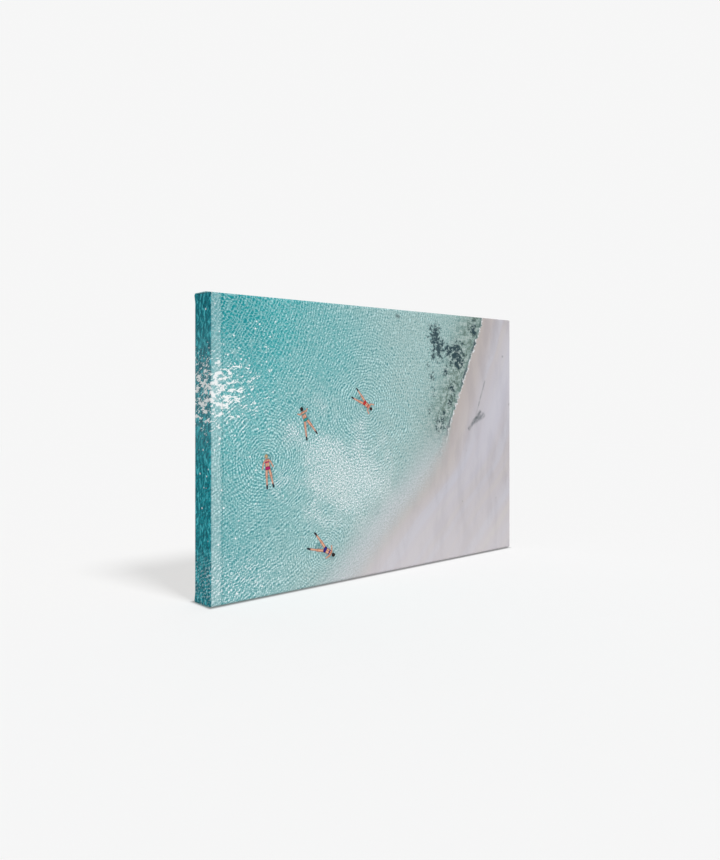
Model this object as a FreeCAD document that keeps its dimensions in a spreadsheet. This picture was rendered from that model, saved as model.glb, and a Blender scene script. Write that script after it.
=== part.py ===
import FreeCAD, Part
import math
import os
import re
import Sketcher

# A gallery-wrapped canvas, 300 by 200 mm, on a frame of four pine stretcher bars.
# The bars lock together with tongues and slots, and two wedge-shaped keys in each
# corner spread them.  The cloth is folded at the corners, turned over the back and
# stapled.  Two D-ring hangers are screwed to the side bars.
#
# Frame: +X runs along the width, the picture faces -Y, +Z is up.  The origin is the
# middle of the footprint, level with the underside of the folded cloth corners.
# A bar's own frame: X along the bar, Y from its front to its back, Z from its outer
# edge to its inner edge.

SIZES = [
    ("frame_width", 300, "outside width of the wooden frame"),
    ("frame_height", 200, "outside height of the wooden frame"),
    ("bar_width", 38, "width of a bar, outer edge to inner edge"),
    ("bar_depth", 20, "depth of a bar, front to back"),
    ("lip_width", 7, "flat lip along the bar's front, which carries the cloth"),
    ("bevel_depth", 2.5, "how far the front falls back at the bar's inner edge"),
    ("edge_radius", 1.2, "rounding of the bar's outer front edge"),
    ("front_cheek", 6.5, "wood in front of the first tongue"),
    ("tongue_thickness", 4, "thickness of each tongue and each slot"),
    ("key_length", 36, "length of a corner key"),
    ("key_head_width", 11.5, "width of a key at its head"),
    ("key_tip_width", 5, "width of a key at its tip"),
    ("key_thickness", 3.8, "thickness of a key"),
    ("key_clearance", 0.1, "gap round a key in its slot"),
    ("key_stickout", 13, "how far a key's head stands out of its slot"),
    ("key_chamfer", 0.8, "chamfer at a key's tip"),
    ("cloth_thickness", 0.4, "thickness of the canvas"),
    ("turnover_width", 21, "cloth turned over the back of the bars"),
    ("fold_length", 20, "length of a folded corner along the top and bottom"),
    ("fold_thickness", 0.8, "the two extra layers of cloth in a folded corner"),
    ("staple_crown", 11, "width of a staple"),
    ("staple_leg", 6, "length of a staple's legs"),
    ("staple_breadth", 1.2, "breadth of the staple wire"),
    ("staple_gauge", 0.5, "thickness of the staple wire"),
    ("staple_bend", 0.4, "rounding where a staple's crown meets its legs"),
    ("staple_inset", 11, "distance of the staples from the frame's outer edge"),
    ("row_margin", 50, "distance of a row's end staples from the frame's corners"),
    ("long_row_count", 6, "staples along the top and along the bottom"),
    ("short_row_count", 4, "staples along each side"),
    ("corner_inset", 14, "distance of a corner staple from both outer edges"),
    ("wire_diameter", 2.2, "diameter of a D-ring's wire"),
    ("ring_straight", 4.8, "half the length of the D-ring's straight leg"),
    ("ring_corner", 1.8, "radius of the D-ring's lower corners"),
    ("ring_rise", 3.6, "height of the centre of the D-ring's round top"),
    ("ring_lean", 3.6, "degrees that the D-ring leans back onto the wood"),
    ("eye_clearance", 0.1, "gap between the D-ring's wire and the strap's eye"),
    ("strap_gauge", 0.8, "thickness of the strap's sheet steel"),
    ("strap_width", 9, "width of a hanger strap"),
    ("strap_drop", 20.5, "length of a strap below its eye's centre"),
    ("strap_slope", 5, "length of the strap's slope below its eye"),
    ("hanger_inset", 29.8, "distance of a hanger from the frame's outer edge"),
    ("hanger_height", 140, "height of a hanger's eye above the frame's bottom"),
    ("screw_drop", 15.8, "distance of a screw below its strap's eye"),
    ("screw_diameter", 3, "diameter of a screw's shank"),
    ("screw_bite", 10, "length of a screw's shank in the wood"),
    ("screw_point", 2.5, "length of a screw's pointed end"),
    ("screw_hole", 3.4, "diameter of the hole in a strap"),
    ("head_diameter", 6, "diameter of a screw's head"),
    ("head_height", 2, "height of a screw's head"),
    ("head_rounding", 1.3, "rounding of a screw's head"),
    ("recess_length", 3.2, "length of the cross recess in a screw's head"),
    ("recess_width", 0.8, "width of the cross recess in a screw's head"),
    ("recess_depth", 1.1, "depth of the cross recess in a screw's head"),
    ("cut_margin", 1, "how far a cutting outline runs past the wood"),
]

ALIASES = {alias for alias, value, note in SIZES}

# Sizes that follow from the driving ones.
EYE_RADIUS = "(wire_diameter / 2 + eye_clearance)"
EYE_OUTSIDE = f"({EYE_RADIUS} + strap_gauge)"
STRAP_THICKNESS = "(2 * strap_gauge)"
WOOD_FRONT = f"(cloth_thickness / 2 - bar_depth / 2 - {EYE_OUTSIDE})"
WOOD_BACK = f"({WOOD_FRONT} + bar_depth)"
WOOD_BOTTOM = "(cloth_thickness + fold_thickness)"
KEY_SLOPE = "((key_head_width - key_tip_width) / key_length)"
SLOT_AT_INNER_EDGE = f"(key_head_width - key_stickout * {KEY_SLOPE} + 2 * key_clearance)"
SLOT_AT_OUTER_EDGE = f"({SLOT_AT_INNER_EDGE} - bar_width * {KEY_SLOPE})"
SLOT_SLANT = f"(cut_margin * {KEY_SLOPE})"
FIRST_SLOT = "front_cheek"
SECOND_SLOT = "(front_cheek + tongue_thickness)"
BACK_CHEEK = "(bar_depth - front_cheek - 2 * tongue_thickness)"

Vector = FreeCAD.Vector
Y_AXIS = Vector(0, 1, 0)

doc = FreeCAD.newDocument("stretched_canvas")
sheet = doc.addObject("Spreadsheet::Sheet", "sizes")
for row, (alias, value, note) in enumerate(SIZES, start=1):
    sheet.set(f"A{row}", note)
    sheet.set(f"B{row}", str(value))
    sheet.setAlias(f"B{row}", alias)
doc.recompute()

sub_parts = []


def bound(text):
    """The expression with every alias written as a cell of the sheet."""
    return re.sub(r"[a-z_]+", lambda word: cell_of(word.group()), text)


def cell_of(word):
    """The sheet's cell for an alias, and any other word as it is."""
    return "sizes." + word if word in ALIASES else word


def number(text):
    """The value that an expression has now."""
    return float(sheet.evalExpression(bound(text)))


# ---------------------------------------------------------------- sketches


def sketch_on(body, name, plane, height="0"):
    """A sketch on one of the body's own origin planes, moved along the plane's normal."""
    sketch = body.newObject("Sketcher::SketchObject", f"{body.Name}_{name}")
    support = [item for item in body.Origin.OriginFeatures if item.Role == plane][0]
    sketch.AttachmentSupport = (support, [""])
    sketch.MapMode = "FlatFace"
    sketch.setExpression("AttachmentOffset.Base.z", bound(height))
    return sketch


def fix_point(sketch, geometry, end, across, up):
    """Tie one point of a sketch's line or arc to two expressions."""
    for kind, text in (("DistanceX", across), ("DistanceY", up)):
        rule = Sketcher.Constraint(kind, -1, 1, geometry, end, number(text))
        index = sketch.addConstraint(rule)
        sketch.setExpression(f"Constraints[{index}]", bound(text))


def add_polygon(sketch, corners):
    """A closed outline through corners, each a pair of expressions."""
    first = sketch.GeometryCount
    places = [Vector(number(across), number(up), 0) for across, up in corners]
    for start, finish in zip(places, places[1:] + places[:1]):
        sketch.addGeometry(Part.LineSegment(start, finish), False)
    for index, (across, up) in enumerate(corners):
        before = first + (index - 1) % len(corners)
        sketch.addConstraint(Sketcher.Constraint("Coincident", before, 2, first + index, 1))
        fix_point(sketch, first + index, 1, across, up)


def add_rectangle(sketch, left, right, low, high):
    """An upright rectangle between four expressions."""
    add_polygon(sketch, [(left, low), (right, low), (right, high), (left, high)])


def add_circle(sketch, across, up, radius):
    """A circle whose centre and radius are expressions."""
    centre = Vector(number(across), number(up), 0)
    circle = sketch.addGeometry(Part.Circle(centre, Vector(0, 0, 1), number(radius)), False)
    fix_point(sketch, circle, 3, across, up)
    index = sketch.addConstraint(Sketcher.Constraint("Radius", circle, number(radius)))
    sketch.setExpression(f"Constraints[{index}]", bound(radius))


def add_arc(sketch, centre, radius, start, finish, start_rule, finish_rule):
    """An arc in quarter turns; each end is level with ("Horizontal") or above or below
    ("Vertical") its centre."""
    middle = Vector(number(centre[0]), number(centre[1]), 0)
    whole = Part.Circle(middle, Vector(0, 0, 1), number(radius))
    arc = sketch.addGeometry(
        Part.ArcOfCircle(whole, math.radians(90 * start), math.radians(90 * finish)), False
    )
    fix_point(sketch, arc, 3, *centre)
    index = sketch.addConstraint(Sketcher.Constraint("Radius", arc, number(radius)))
    sketch.setExpression(f"Constraints[{index}]", bound(radius))
    sketch.addConstraint(Sketcher.Constraint(start_rule, arc, 1, arc, 3))
    sketch.addConstraint(Sketcher.Constraint(finish_rule, arc, 2, arc, 3))
    return arc


def join_with_line(sketch, before, before_end, after, after_end):
    """A straight line from one geometry's end to another's."""
    start = sketch.getPoint(before, before_end)
    finish = sketch.getPoint(after, after_end)
    line = sketch.addGeometry(Part.LineSegment(start, finish), False)
    sketch.addConstraint(Sketcher.Constraint("Coincident", line, 1, before, before_end))
    sketch.addConstraint(Sketcher.Constraint("Coincident", line, 2, after, after_end))


# ---------------------------------------------------------------- features


def new_body(name, listed=True):
    """A body; a listed one is a sub-part of its own."""
    body = doc.addObject("PartDesign::Body", name)
    body.Label = name
    body.AllowCompound = True
    if listed:
        sub_parts.append(body)
    return body


def pad(body, name, sketch, length, symmetric=False):
    """Raise a sketch into a solid, along its normal or to both sides of its plane."""
    feature = body.newObject("PartDesign::Pad", f"{body.Name}_{name}")
    feature.Profile = sketch
    feature.SideType = "Symmetric" if symmetric else "One side"
    feature.setExpression("Length", bound(length))
    doc.recompute()
    return feature


def pocket(body, name, sketch, length, symmetric=False):
    """Cut a sketch out of the body, against its normal or to both sides of its plane."""
    before = body.Shape.Volume
    feature = body.newObject("PartDesign::Pocket", f"{body.Name}_{name}")
    feature.Profile = sketch
    feature.SideType = "Symmetric" if symmetric else "One side"
    feature.setExpression("Length", bound(length))
    doc.recompute()
    if not body.Shape.Volume < before:
        raise RuntimeError(f"{feature.Name} cuts nothing")
    return feature


def dress_edges(body, kind, name, sizes, chosen):
    """Fillet or chamfer the edges that the test chosen picks by their two end points."""
    base = body.Tip
    names = []
    for index, edge in enumerate(base.Shape.Edges, start=1):
        ends = [vertex.Point for vertex in edge.Vertexes]
        if len(ends) == 2 and chosen(*ends):
            names.append(f"Edge{index}")
    feature = body.newObject(f"PartDesign::{kind}", f"{body.Name}_{name}")
    feature.Base = (base, names)
    for size_name, text in sizes.items():
        feature.setExpression(size_name, bound(text))
    doc.recompute()
    return feature


def near(value, text):
    """Whether a coordinate has the value of an expression."""
    return abs(value - number(text)) < 1e-6


def place(item, across, back, up, rotation=FreeCAD.Rotation()):
    """Put a sub-part where three expressions say, turned by rotation."""
    item.Placement = FreeCAD.Placement(Vector(0, 0, 0), rotation)
    item.setExpression("Placement.Base.x", bound(across))
    item.setExpression("Placement.Base.y", bound(back))
    item.setExpression("Placement.Base.z", bound(up))


# ---------------------------------------------------------------- stretcher bars

# Each corner, going round: its name, the turn about Y that carries the bottom bar's
# own frame to that of the bar that starts there, the corner's place as multiples of
# half the width and of the height, and the directions along that bar and across it.
CORNERS = [
    ("bottom_left", 0, -1, 0, (1, 0), (0, 1)),
    ("bottom_right", -90, 1, 0, (0, 1), (-1, 0)),
    ("top_right", 180, 1, 1, (-1, 0), (0, -1)),
    ("top_left", 90, -1, 1, (0, -1), (1, 0)),
]

# Each bar: its name, its length, its turn about Y, and where its middle is.
BARS = [
    ("stretcher_bar_bottom", "frame_width", 0, "0", "0"),
    ("stretcher_bar_right", "frame_height", -90, "frame_width / 2", "frame_height / 2"),
    ("stretcher_bar_top", "frame_width", 180, "0", "frame_height"),
    ("stretcher_bar_left", "frame_height", 90, "-frame_width / 2", "frame_height / 2"),
]


def cut_mitres(body, name, length, start, depth):
    """Cut both ends at 45 degrees through one layer of the bar."""
    sketch = sketch_on(body, f"{name}_outline", "XZ_Plane", f"-{start}")
    past = f"({length} / 2 + cut_margin)"
    inner = f"({length} / 2 - bar_width - cut_margin)"
    top = "(bar_width + cut_margin)"
    for side in ("", "-"):
        add_polygon(sketch, [
            (f"{side}{length} / 2", "0"),
            (f"{side}{past}", "0"),
            (f"{side}{past}", top),
            (f"{side}{inner}", top),
        ])
    pocket(body, name, sketch, depth)


def cut_key_slot(body, name, length, start, side):
    """Cut one end away where the next bar's tongue goes in, with room for a key."""
    sketch = sketch_on(body, f"{name}_outline", "XZ_Plane", f"-{start}")
    past = f"({length} / 2 + cut_margin)"
    low = f"({length} / 2 - bar_width - {SLOT_AT_OUTER_EDGE} + {SLOT_SLANT})"
    high = f"({length} / 2 - bar_width - {SLOT_AT_INNER_EDGE} - {SLOT_SLANT})"
    add_polygon(sketch, [
        (f"{side}{past}", "-cut_margin"),
        (f"{side}{past}", "bar_width + cut_margin"),
        (f"{side}{high}", "bar_width + cut_margin"),
        (f"{side}{low}", "-cut_margin"),
    ])
    pocket(body, name, sketch, "tongue_thickness")


def make_bar(name, length, turn, across, up):
    """One stretcher bar, with a tongue and a slot at each end."""
    body = new_body(name)
    profile = sketch_on(body, "profile", "YZ_Plane")
    add_polygon(profile, [
        ("0", "0"),
        ("bar_depth", "0"),
        ("bar_depth", "bar_width"),
        ("bevel_depth", "bar_width"),
        ("0", "lip_width"),
    ])
    pad(body, "length", profile, length, symmetric=True)
    dress_edges(
        body, "Fillet", "rounded_edge", {"Radius": "edge_radius"},
        lambda a, b: max(abs(a.y), abs(b.y), abs(a.z), abs(b.z)) < 1e-6,
    )
    cut_mitres(body, "front_mitres", length, "0", "front_cheek")
    cut_mitres(body, "back_mitres", length, f"(bar_depth - {BACK_CHEEK})", BACK_CHEEK)
    cut_key_slot(body, "first_slot", length, FIRST_SLOT, "-")
    cut_key_slot(body, "second_slot", length, SECOND_SLOT, "")
    place(body, across, WOOD_FRONT, f"{WOOD_BOTTOM} + {up}", FreeCAD.Rotation(Y_AXIS, turn))
    return body


def drill_pilot_hole(body, side):
    """The hole in a side bar that the hanger's screw is driven into."""
    sketch = sketch_on(body, "pilot_circle", "XZ_Plane", "-(bar_depth - screw_bite)")
    along = f"{side}(hanger_height - screw_drop - frame_height / 2)"
    add_circle(sketch, along, "hanger_inset", "screw_diameter / 2")
    pocket(body, "pilot_hole", sketch, "screw_bite + cut_margin")


bars = {bar[0]: make_bar(*bar) for bar in BARS}
drill_pilot_hole(bars["stretcher_bar_right"], "")
drill_pilot_hole(bars["stretcher_bar_left"], "-")


# ---------------------------------------------------------------- corner keys


def make_key(name):
    """A wedge with one straight side on its own X axis and its head at the origin."""
    body = new_body(name)
    outline = sketch_on(body, "outline", "XZ_Plane")
    add_polygon(outline, [
        ("0", "0"),
        ("0", "key_head_width"),
        ("-key_length", "key_tip_width"),
        ("-key_length", "0"),
    ])
    pad(body, "thickness", outline, "key_thickness", symmetric=True)
    dress_edges(
        body, "Chamfer", "tip", {"Size": "key_chamfer"},
        lambda a, b: near(a.x, "-key_length") and near(b.x, "-key_length") and abs(a.z - b.z) < 1e-6,
    )
    return body


def make_corner_keys(corner, turn, side, top, along, inward):
    """The two keys of one corner: one against each bar, in slots at different depths."""
    on_the_bar = "(bar_width + key_clearance)"
    at_the_head = "(bar_width + key_stickout)"
    middle = f"({WOOD_FRONT} + {SECOND_SLOT} + tongue_thickness / 2)"
    nearer = f"({WOOD_FRONT} + {FIRST_SLOT} + tongue_thickness / 2)"
    turned = FreeCAD.Rotation(Y_AXIS, turn)
    swapped = turned.multiply(FreeCAD.Rotation(Vector(1, 0, 1), 180))
    kinds = [
        ("back", at_the_head, on_the_bar, middle, turned),
        ("front", on_the_bar, at_the_head, nearer, swapped),
    ]
    for kind, run, rise, depth, rotation in kinds:
        across = f"{side} * frame_width / 2 + {along[0]} * {run} + {inward[0]} * {rise}"
        up = f"{WOOD_BOTTOM} + {top} * frame_height + {along[1]} * {run} + {inward[1]} * {rise}"
        place(make_key(f"corner_key_{corner}_{kind}"), across, depth, up, rotation)


for corner in CORNERS:
    make_corner_keys(*corner)


# ---------------------------------------------------------------- cloth


def make_block(body, left, right, low, high, back, front):
    """A block with rounded front edges, from front ahead of the wood's face to back behind it."""
    outline = sketch_on(body, "outline", "XZ_Plane", f"-{back}")
    add_rectangle(outline, left, right, low, high)
    pad(body, "block", outline, f"{back} + {front}")
    dress_edges(
        body, "Fillet", "front_edges", {"Radius": f"edge_radius + {front}"},
        lambda a, b: near(a.y, f"-{front}") and near(b.y, f"-{front}"),
    )


def make_canvas():
    """The cloth as it lies on the frame: front, sides, turned-over edge and folded corners."""
    body = new_body("canvas")
    half = "(frame_width / 2)"
    outside = f"({half} + cloth_thickness)"
    opening = f"({half} - turnover_width)"
    back = "(bar_depth + cloth_thickness)"
    high = "(frame_height + cloth_thickness)"

    make_block(body, f"-{outside}", outside, "-cloth_thickness", high, back, "cloth_thickness")
    frame_room = new_body("frame_room", listed=False)
    make_block(frame_room, f"-{half}", half, "0", "frame_height", "bar_depth", "0")
    hollow = body.newObject("PartDesign::Boolean", "canvas_hollow")
    hollow.setObjects([frame_room])
    hollow.Type = "Cut"
    doc.recompute()

    opening_outline = sketch_on(body, "opening_outline", "XZ_Plane", "-(bar_depth - cut_margin)")
    add_rectangle(
        opening_outline, f"-{opening}", opening, "turnover_width", "frame_height - turnover_width"
    )
    pocket(body, "opening", opening_outline, "2 * cut_margin + cloth_thickness")

    back_folds = sketch_on(body, "back_folds_outline", "XZ_Plane", f"-({back} + fold_thickness)")
    edge_folds = sketch_on(body, "edge_folds_outline", "XZ_Plane", f"-{back}")
    inner = f"({outside} - fold_length)"
    for left, right in ((f"-{outside}", f"-{inner}"), (inner, outside)):
        add_rectangle(back_folds, left, right, "-cloth_thickness", "turnover_width - cloth_thickness")
        add_rectangle(back_folds, left, right, "frame_height + cloth_thickness - turnover_width", high)
        add_rectangle(edge_folds, left, right, f"-{WOOD_BOTTOM}", "-cloth_thickness")
        add_rectangle(edge_folds, left, right, high, f"frame_height + {WOOD_BOTTOM}")
    pad(body, "back_folds", back_folds, "fold_thickness")
    pad(body, "edge_folds", edge_folds, f"{back} - edge_radius")
    place(body, "0", WOOD_FRONT, WOOD_BOTTOM)


make_canvas()


# ---------------------------------------------------------------- staples


def make_staple(name, listed=True):
    """One staple: its crown lies on the cloth, at y = 0, and its legs point to the front."""
    body = new_body(name, listed)
    outline = sketch_on(body, "outline", "XY_Plane")
    outside = "(staple_crown / 2)"
    inside = "(staple_crown / 2 - staple_gauge)"
    add_polygon(outline, [
        (f"-{outside}", "staple_gauge"),
        (outside, "staple_gauge"),
        (outside, "-staple_leg"),
        (inside, "-(staple_leg - staple_gauge)"),
        (inside, "0"),
        (f"-{inside}", "0"),
        (f"-{inside}", "-(staple_leg - staple_gauge)"),
        (f"-{outside}", "-staple_leg"),
    ])
    pad(body, "wire", outline, "staple_breadth", symmetric=True)
    dress_edges(
        body, "Fillet", "bends", {"Radius": "staple_bend"},
        lambda a, b: near(a.y, "staple_gauge") and near(b.y, "staple_gauge") and abs(a.x - b.x) < 1e-6,
    )
    return body, outline


def make_staple_row(name, length, count, turn, across, up):
    """A row of staples along one side, from the first one on."""
    body, outline = make_staple(name)
    row = body.newObject("PartDesign::LinearPattern", f"{name}_row")
    row.Originals = [item for item in body.Group if item.TypeId in ("PartDesign::Pad", "PartDesign::Fillet")]
    row.Direction = (outline, ["H_Axis"])
    row.setExpression("Length", bound(f"{length} - 2 * row_margin"))
    row.setExpression("Occurrences", bound(count))
    body.Tip = row
    doc.recompute()
    place(
        body, across, f"{WOOD_BACK} + cloth_thickness", f"{WOOD_BOTTOM} + {up}",
        FreeCAD.Rotation(Y_AXIS, turn),
    )


# Each row: its name, the side's length, how many staples, the turn about Y, and where
# the first staple is.
STAPLE_ROWS = [
    ("staples_bottom", "frame_width", "long_row_count", 0,
     "-frame_width / 2 + row_margin", "staple_inset"),
    ("staples_top", "frame_width", "long_row_count", 0,
     "-frame_width / 2 + row_margin", "frame_height - staple_inset"),
    ("staples_right", "frame_height", "short_row_count", -90,
     "frame_width / 2 - staple_inset", "row_margin"),
    ("staples_left", "frame_height", "short_row_count", -90,
     "-frame_width / 2 + staple_inset", "row_margin"),
]

for staple_row in STAPLE_ROWS:
    make_staple_row(*staple_row)


def make_corner_staples():
    """One staple across each corner fold, mirrored from the bottom left one."""
    first, outline = make_staple("corner_staple", listed=False)
    place(
        first, "-frame_width / 2 + corner_inset",
        f"{WOOD_BACK} + cloth_thickness + fold_thickness", f"{WOOD_BOTTOM} + corner_inset",
        FreeCAD.Rotation(Y_AXIS, 45),
    )
    pair = mirrored_pair("corner_staples_bottom", first, Vector(1, 0, 0))
    group = mirrored_pair("staples_corners", pair, Vector(0, 0, 1))
    sub_parts.append(group)


def mirrored_pair(name, source, normal):
    """A shape together with its mirror image across the middle of the frame."""
    image = doc.addObject("Part::Mirroring", f"{name}_image")
    image.Source = source
    image.Normal = normal
    image.setExpression("Base.z", bound(f"{WOOD_BOTTOM} + frame_height / 2"))
    pair = doc.addObject("Part::Compound", name)
    pair.Label = name
    pair.Links = [source, image]
    doc.recompute()
    return pair


make_corner_staples()


# ---------------------------------------------------------------- hangers


def make_strap(name):
    """A steel strap folded round the ring's wire; its origin is on the wood, under the eye."""
    body = new_body(name)
    eye = sketch_on(body, "eye_outline", "YZ_Plane")
    add_circle(eye, EYE_OUTSIDE, "0", EYE_OUTSIDE)
    pad(body, "eye", eye, "strap_width", symmetric=True)
    plate = sketch_on(body, "plate_outline", "YZ_Plane")
    add_polygon(plate, [
        ("0", "0"),
        (f"2 * {EYE_OUTSIDE}", "0"),
        (STRAP_THICKNESS, "-strap_slope"),
        (STRAP_THICKNESS, "-strap_drop"),
        ("0", "-strap_drop"),
    ])
    pad(body, "plate", plate, "strap_width", symmetric=True)
    bore = sketch_on(body, "bore_outline", "YZ_Plane")
    add_circle(bore, EYE_OUTSIDE, "0", EYE_RADIUS)
    pocket(body, "bore", bore, "strap_width + cut_margin", symmetric=True)
    dress_edges(
        body, "Fillet", "rounded_end", {"Radius": "strap_width / 2 - strap_gauge / 4"},
        lambda a, b: near(a.z, "-strap_drop") and near(b.z, "-strap_drop") and abs(a.x - b.x) < 1e-6,
    )
    hole = sketch_on(body, "hole_outline", "XZ_Plane", "cut_margin")
    add_circle(hole, "0", "-screw_drop", "screw_hole / 2")
    pocket(body, "screw_hole", hole, f"{STRAP_THICKNESS} + 2 * cut_margin")
    return body


def make_ring(name):
    """A D-ring of round wire; its origin is the middle of the straight leg, in the eye."""
    body = new_body(name)
    path = sketch_on(body, "path", "XZ_Plane")
    side = "(ring_straight + ring_corner)"
    lower_right = add_arc(
        path, ("ring_straight", "ring_corner"), "ring_corner", -1, 0, "Vertical", "Horizontal"
    )
    round_top = add_arc(path, ("0", "ring_rise"), side, 0, 2, "Horizontal", "Horizontal")
    lower_left = add_arc(
        path, ("-ring_straight", "ring_corner"), "ring_corner", 2, 3, "Horizontal", "Vertical"
    )
    join_with_line(path, lower_right, 2, round_top, 1)
    join_with_line(path, round_top, 2, lower_left, 1)
    join_with_line(path, lower_left, 2, lower_right, 1)
    section = sketch_on(body, "section", "YZ_Plane")
    add_circle(section, "0", "0", "wire_diameter / 2")
    wire = body.newObject("PartDesign::AdditivePipe", f"{name}_wire")
    wire.Profile = section
    wire.Spine = path
    wire.Transition = "Transformed"
    doc.recompute()
    return body


def make_screw(name):
    """A pan-head screw along Y; its origin is the underside of its head."""
    body = new_body(name)
    outline = sketch_on(body, "outline", "XY_Plane")
    reach = f"({STRAP_THICKNESS} + screw_bite)"
    add_polygon(outline, [
        ("0", f"-{reach}"),
        ("screw_diameter / 2", f"-({reach} - screw_point)"),
        ("screw_diameter / 2", "0"),
        ("head_diameter / 2", "0"),
        ("head_diameter / 2", "head_height"),
        ("0", "head_height"),
    ])
    turned = body.newObject("PartDesign::Revolution", f"{name}_turned")
    turned.Profile = outline
    turned.ReferenceAxis = (outline, ["V_Axis"])
    turned.Angle = 360
    doc.recompute()
    rim = [
        f"Edge{index}" for index, edge in enumerate(turned.Shape.Edges, start=1)
        if near(edge.BoundBox.YMin, "head_height") and near(edge.BoundBox.YMax, "head_height")
    ]
    dome = body.newObject("PartDesign::Fillet", f"{name}_dome")
    dome.Base = (turned, rim)
    dome.setExpression("Radius", bound("head_rounding"))
    doc.recompute()
    for arm, (wide, high) in (("level", ("recess_length", "recess_width")),
                              ("upright", ("recess_width", "recess_length"))):
        slot = sketch_on(body, f"{arm}_slot", "XZ_Plane", "-(head_height - recess_depth)")
        add_rectangle(slot, f"-{wide} / 2", f"{wide} / 2", f"-{high} / 2", f"{high} / 2")
        pocket(body, f"{arm}_recess", slot, "recess_depth + cut_margin")
    return body


for side, sign in (("left", "-"), ("right", "")):
    middle = f"{sign}(frame_width / 2 - hanger_inset)"
    eye_level = f"({WOOD_BOTTOM} + hanger_height)"
    place(make_strap(f"hanger_strap_{side}"), middle, WOOD_BACK, eye_level)
    ring = make_ring(f"hanger_ring_{side}")
    place(
        ring, middle, f"{WOOD_BACK} + {EYE_OUTSIDE}", eye_level,
        FreeCAD.Rotation(Vector(1, 0, 0), number("ring_lean")),
    )
    screw = make_screw(f"hanger_screw_{side}")
    place(screw, middle, f"{WOOD_BACK} + {STRAP_THICKNESS}", f"{eye_level} - screw_drop")


# ---------------------------------------------------------------- checks and export

doc.recompute()
for item in doc.Objects:
    if "Invalid" in item.State or "Error" in item.State:
        raise RuntimeError(f"{item.Name} failed: {item.State}")
for sub_part in sub_parts:
    if sub_part.Shape.isNull() or not sub_part.Shape.isValid():
        raise RuntimeError(f"{sub_part.Label} has no valid shape")

os.makedirs("parts", exist_ok=True)
for sub_part in sub_parts:
    sub_part.Shape.exportStep(f"parts/{sub_part.Label}.step")
    print(sub_part.Label, len(sub_part.Shape.Solids), round(sub_part.Shape.Volume, 1))
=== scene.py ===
import math

import bmesh
import bpy
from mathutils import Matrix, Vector


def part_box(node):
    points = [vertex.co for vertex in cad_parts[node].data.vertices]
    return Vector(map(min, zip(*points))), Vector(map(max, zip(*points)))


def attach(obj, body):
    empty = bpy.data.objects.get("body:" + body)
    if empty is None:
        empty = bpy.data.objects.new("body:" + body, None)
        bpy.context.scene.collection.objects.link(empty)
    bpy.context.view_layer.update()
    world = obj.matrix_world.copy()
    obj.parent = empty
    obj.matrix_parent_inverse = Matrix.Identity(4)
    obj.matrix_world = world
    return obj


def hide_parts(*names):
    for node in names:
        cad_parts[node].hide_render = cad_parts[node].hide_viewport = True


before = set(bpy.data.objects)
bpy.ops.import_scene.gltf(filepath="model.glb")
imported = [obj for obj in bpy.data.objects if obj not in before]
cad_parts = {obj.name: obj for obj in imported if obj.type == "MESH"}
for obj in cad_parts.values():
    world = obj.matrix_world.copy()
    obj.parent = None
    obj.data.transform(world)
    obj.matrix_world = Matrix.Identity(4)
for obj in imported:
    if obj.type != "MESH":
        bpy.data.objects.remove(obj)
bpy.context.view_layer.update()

# A stretched canvas with a printed beach: one cloth sheet with folded corners stands for the
# CAD's plain one, and the other pieces are the CAD's own, with materials.

MM = 0.001

# ------------------------------------------------------------------ the frame's own sizes

wood_low, wood_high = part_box("stretcher_bar_bottom")
WOOD_FRONT, WOOD_BACK = wood_low.y, wood_high.y
WOOD_BOTTOM = wood_low.z
WOOD_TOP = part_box("stretcher_bar_top")[1].z
HALF_WIDTH = wood_high.x
HALF_HEIGHT = (WOOD_TOP - WOOD_BOTTOM) / 2
MIDDLE = (WOOD_TOP + WOOD_BOTTOM) / 2
DEPTH = WOOD_BACK - WOOD_FRONT

CLOTH = 0.4 * MM          # thickness of the canvas
EDGE = 1.2 * MM           # rounding of the bars' outer front edge
BACK_BEND = 0.3 * MM      # how sharply the cloth goes round the bars' square back edge
TURNOVER = 21 * MM        # cloth on the back of the bars, from the outside edge
EAR = 20 * MM             # length of the folded ear that is tucked into each corner
CORNER_REACH = 30 * MM    # the part of each side that is shaped together with a corner
CORNER_ROUND = 0.5 * MM   # how sharply the cloth goes round the frame's corners
FOOTPRINT = (150 * MM, 11 * MM, 0.0)   # half the width and depth of what stands on the floor
LIP = 7.9 * MM            # where the cloth leaves the bar's flat lip, from the outside
SAG = 0.32 * MM           # how far the middle of the front sits back
PULL = 0.05 * MM          # height of the pull lines towards the corners
LIP_LINE = 0.13 * MM      # depth of the line where the lip ends
SIDE_BOW = 0.16 * MM      # how far the cloth bows out on the left and right
TOP_BOW = 0.12 * MM       # how far it bows out on the top and underside
SHELL = CLOTH * 0.98      # thickness of the sheet's mesh


def smooth(value):
    """0 below 0, 1 above 1, and an S curve between."""
    value = min(1.0, max(0.0, value))
    return value * value * (3 - 2 * value)


# ------------------------------------------------------------------ node graphs


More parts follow.
